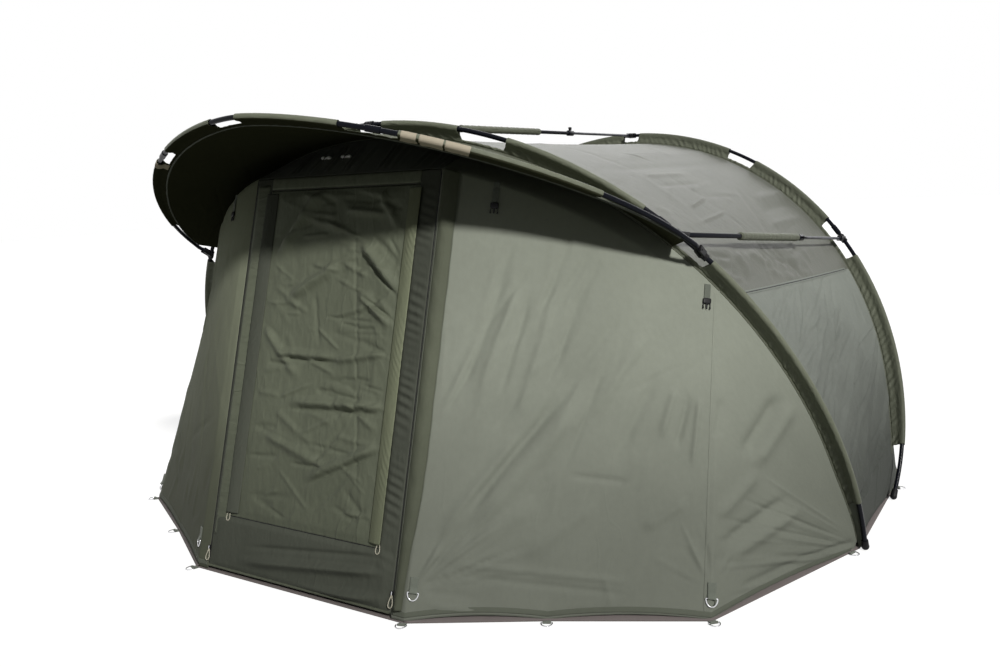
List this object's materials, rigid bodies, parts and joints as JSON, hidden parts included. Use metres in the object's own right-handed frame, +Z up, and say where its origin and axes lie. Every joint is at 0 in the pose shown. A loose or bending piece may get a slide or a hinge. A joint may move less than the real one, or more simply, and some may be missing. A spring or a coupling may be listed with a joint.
{
  "type": "bivvy tent",
  "caption": "Low dome shelter on curved pole ribs with tension bars, a forward peak and canopy, a zipped front door, gathered header, pegging rings and groundsheet.",
  "frame": {"origin": "on the ground, midway between the front rib's two feet, on the flat underside of the groundsheet", "axes": "+Z up, the door faces -Y, and +X is to the right as one looks at the door from the front"},
  "size_m": [3.056, 3.0992, 1.5234],
  "materials": {
    "fabric": "matte woven olive cloth",
    "sleeve_fabric": "matte dark olive woven cloth",
    "groundsheet": "coated cloth",
    "pole": "gloss black coat over aluminium tube",
    "moulding": "satin black moulding",
    "webbing": "ribbed grey-green webbing",
    "nickel": "bright nickel plate on steel wire"
  },
  "bodies": {
    "front_frame": {"groundsheet": "groundsheet", "front_rib_right_leg": "pole", "front_rib_left_leg": "pole", "front_rib_crown": "pole", "front_rib_sleeve": "sleeve_fabric", "peak_bracket_right": "moulding", "peak_bracket_left": "moulding", "top_bar_front_saddle": "moulding", "right_bar_front_saddle": "moulding", "left_bar_front_saddle": "moulding", "roof_panel": "fabric", "side_panel_right": "fabric", "side_panel_left": "fabric", "rear_wall": "fabric", "front_panel_right": "fabric", "front_panel_left": "fabric", "door_header": "fabric", "peak_canopy": "fabric", "storm_flap": "fabric", "seam_tab_right": "webbing", "seam_tab_left": "webbing", "door_tab_right": "webbing", "door_tab_left": "webbing"},
    "rear_frame": {"rear_rib_right_leg": "pole", "rear_rib_left_leg": "pole", "rear_rib_crown": "pole", "rear_rib_sleeve": "sleeve_fabric", "top_bar_rear_saddle": "moulding", "right_bar_rear_saddle": "moulding", "left_bar_rear_saddle": "moulding"},
    "peak_frame": {"peak_rib_right": "pole", "peak_rib_crown": "pole", "peak_rib_left": "pole", "peak_rib_sleeve": "sleeve_fabric"},
    "top_bar_outer": {"top_bar_outer_tube": "pole", "top_bar_wrap": "sleeve_fabric"},
    "top_bar_inner": {"top_bar_inner_tube": "pole"},
    "top_bar_clamp_knob": {"top_bar_knob": "moulding"},
    "right_bar_outer": {"right_bar_outer_tube": "pole", "right_bar_wrap": "sleeve_fabric"},
    "right_bar_inner": {"right_bar_inner_tube": "pole"},
    "right_bar_clamp_knob": {"right_bar_knob": "moulding"},
    "left_bar_outer": {"left_bar_outer_tube": "pole", "left_bar_wrap": "sleeve_fabric"},
    "left_bar_inner": {"left_bar_inner_tube": "pole"},
    "left_bar_clamp_knob": {"left_bar_knob": "moulding"},
    "door": {"door_panel": "fabric"},
    "inner_door": {"inner_door_panel": "fabric"},
    "door_slider_right_body": {"door_slider_right": "moulding"},
    "door_slider_left_body": {"door_slider_left": "moulding"},
    "inner_slider_right_body": {"inner_slider_right": "moulding"},
    "inner_slider_left_body": {"inner_slider_left": "moulding"},
    "vent_slider_right_body": {"vent_slider_right": "moulding"},
    "vent_slider_left_body": {"vent_slider_left": "moulding"},
    "seam_ring_right_body": {"seam_ring_right": "nickel"},
    "seam_ring_left_body": {"seam_ring_left": "nickel"},
    "door_ring_right_body": {"door_ring_right": "nickel"},
    "door_ring_left_body": {"door_ring_left": "nickel"},
    "door_strap_right_body": {"door_strap_right": "moulding"},
    "door_strap_left_body": {"door_strap_left": "moulding"}
  },
  "joints": [
    {"name": "rear_frame_fold", "type": "hinge", "parent": "front_frame", "child": "rear_frame", "pos_m": [0, 0.54, 0.013], "axis": [1, 0, 0], "range_deg": [0, 12], "deforming": ["roof_panel", "side_panel_right", "side_panel_left", "rear_wall"]},
    {"name": "peak_fold", "type": "hinge", "parent": "front_frame", "child": "peak_frame", "pos_m": [0, -0.46259, 1.0505], "axis": [-1, 0, 0], "range_deg": [0, 28], "deforming": ["peak_canopy"]},
    {"name": "top_bar_swing", "type": "hinge", "parent": "front_frame", "child": "top_bar_outer", "pos_m": [0, -0.59149, 1.49966], "axis": [1, 0, 0], "range_deg": [0, 4.94]},
    {"name": "top_bar_slide", "type": "slide", "parent": "top_bar_outer", "child": "top_bar_inner", "axis": [0, 0.9999, -0.0106], "range_m": [-0.3182, 0]},
    {"name": "top_bar_knob_turn", "type": "hinge", "parent": "top_bar_outer", "child": "top_bar_clamp_knob", "pos_m": [0, 0.76972, 1.4852], "axis": [0, 0.0106, 0.9999], "range_deg": [0, 180]},
    {"name": "right_bar_swing", "type": "hinge", "parent": "front_frame", "child": "right_bar_outer", "pos_m": [1.0695, -0.42258, 1.09276], "axis": [0.9877, -0.0622, -0.1434], "range_deg": [0, 3.38]},
    {"name": "right_bar_slide", "type": "slide", "parent": "right_bar_outer", "child": "right_bar_inner", "axis": [0.0502, 0.995, -0.0859], "range_m": [-0.2139, 0]},
    {"name": "right_bar_knob_turn", "type": "hinge", "parent": "right_bar_outer", "child": "right_bar_clamp_knob", "pos_m": [1.1202, 0.58198, 1.00606], "axis": [0.9987, -0.0504, 0], "range_deg": [0, 180]},
    {"name": "left_bar_swing", "type": "hinge", "parent": "front_frame", "child": "left_bar_outer", "pos_m": [-1.0695, -0.42258, 1.09276], "axis": [0.9877, 0.0622, 0.1434], "range_deg": [0, 3.38]},
    {"name": "left_bar_slide", "type": "slide", "parent": "left_bar_outer", "child": "left_bar_inner", "axis": [-0.0502, 0.995, -0.0859], "range_m": [-0.2139, 0]},
    {"name": "left_bar_knob_turn", "type": "hinge", "parent": "left_bar_outer", "child": "left_bar_clamp_knob", "pos_m": [-1.1202, 0.58198, 1.00606], "axis": [-0.9987, -0.0504, 0], "range_deg": [0, 180]},
    {"name": "door_swing", "type": "hinge", "parent": "front_frame", "child": "door", "pos_m": [0, -0.77492, 1.33172], "axis": [-1, 0, 0], "range_deg": [0, 60]},
    {"name": "inner_door_swing", "type": "hinge", "parent": "door", "child": "inner_door", "pos_m": [0, -0.78776, 1.28812], "axis": [-1, 0, 0], "range_deg": [0, 40]},
    {"name": "door_slider_right_run", "type": "slide", "parent": "door", "child": "door_slider_right_body", "axis": [0, 0.2824, 0.9593], "range_m": [0, 1.2]},
    {"name": "door_slider_left_run", "type": "slide", "parent": "door", "child": "door_slider_left_body", "axis": [0, 0.2824, 0.9593], "range_m": [0, 1.2]},
    {"name": "inner_slider_right_run", "type": "slide", "parent": "inner_door", "child": "inner_slider_right_body", "axis": [0, 0.2824, 0.9593], "range_m": [0, 1.05]},
    {"name": "inner_slider_left_run", "type": "slide", "parent": "inner_door", "child": "inner_slider_left_body", "axis": [0, 0.2824, 0.9593], "range_m": [0, 1.05]},
    {"name": "vent_slider_right_run", "type": "slide", "parent": "front_frame", "child": "vent_slider_right_body", "axis": [-0.0162, 0.9983, -0.0562], "range_m": [0, 1.1]},
    {"name": "vent_slider_left_run", "type": "slide", "parent": "front_frame", "child": "vent_slider_left_body", "axis": [0.0162, 0.9983, -0.0562], "range_m": [0, 1.1]},
    {"name": "seam_ring_right_swing", "type": "hinge", "parent": "front_frame", "child": "seam_ring_right_body", "pos_m": [1.25636, -0.7169, 0.05993], "axis": [-0.8896, -0.4499, 0.079], "range_deg": [0, 90]},
    {"name": "seam_ring_left_swing", "type": "hinge", "parent": "front_frame", "child": "seam_ring_left_body", "pos_m": [-1.25636, -0.7169, 0.05993], "axis": [-0.8896, 0.4499, -0.079], "range_deg": [0, 90]},
    {"name": "door_ring_right_swing", "type": "hinge", "parent": "front_frame", "child": "door_ring_right_body", "pos_m": [0.48527, -1.13688, 0.08718], "axis": [-0.8828, -0.4504, 0.1334], "range_deg": [0, 90]},
    {"name": "door_ring_left_swing", "type": "hinge", "parent": "front_frame", "child": "door_ring_left_body", "pos_m": [-0.48527, -1.13688, 0.08718], "axis": [-0.8828, 0.4504, -0.1334], "range_deg": [0, 90]},
    {"name": "door_strap_right_swing", "type": "hinge", "parent": "front_frame", "child": "door_strap_right_body", "pos_m": [0.59047, -0.737, 1.265], "axis": [-0.908, -0.4022, 0.117], "range_deg": [0, 60]},
    {"name": "door_strap_left_swing", "type": "hinge", "parent": "front_frame", "child": "door_strap_left_body", "pos_m": [-0.59047, -0.737, 1.265], "axis": [-0.908, 0.4022, -0.117], "range_deg": [0, 60]}
  ],
  "couplings": [
    {"joint": "top_bar_swing", "follows": "rear_frame_fold", "ratio": 0.40742},
    {"joint": "top_bar_slide", "follows": "rear_frame_fold", "m_per_rad": -1.5144},
    {"joint": "right_bar_swing", "follows": "rear_frame_fold", "ratio": 0.27757},
    {"joint": "right_bar_slide", "follows": "rear_frame_fold", "m_per_rad": -1.0167},
    {"joint": "left_bar_swing", "follows": "rear_frame_fold", "ratio": 0.27757},
    {"joint": "left_bar_slide", "follows": "rear_frame_fold", "m_per_rad": -1.0167}
  ]
}
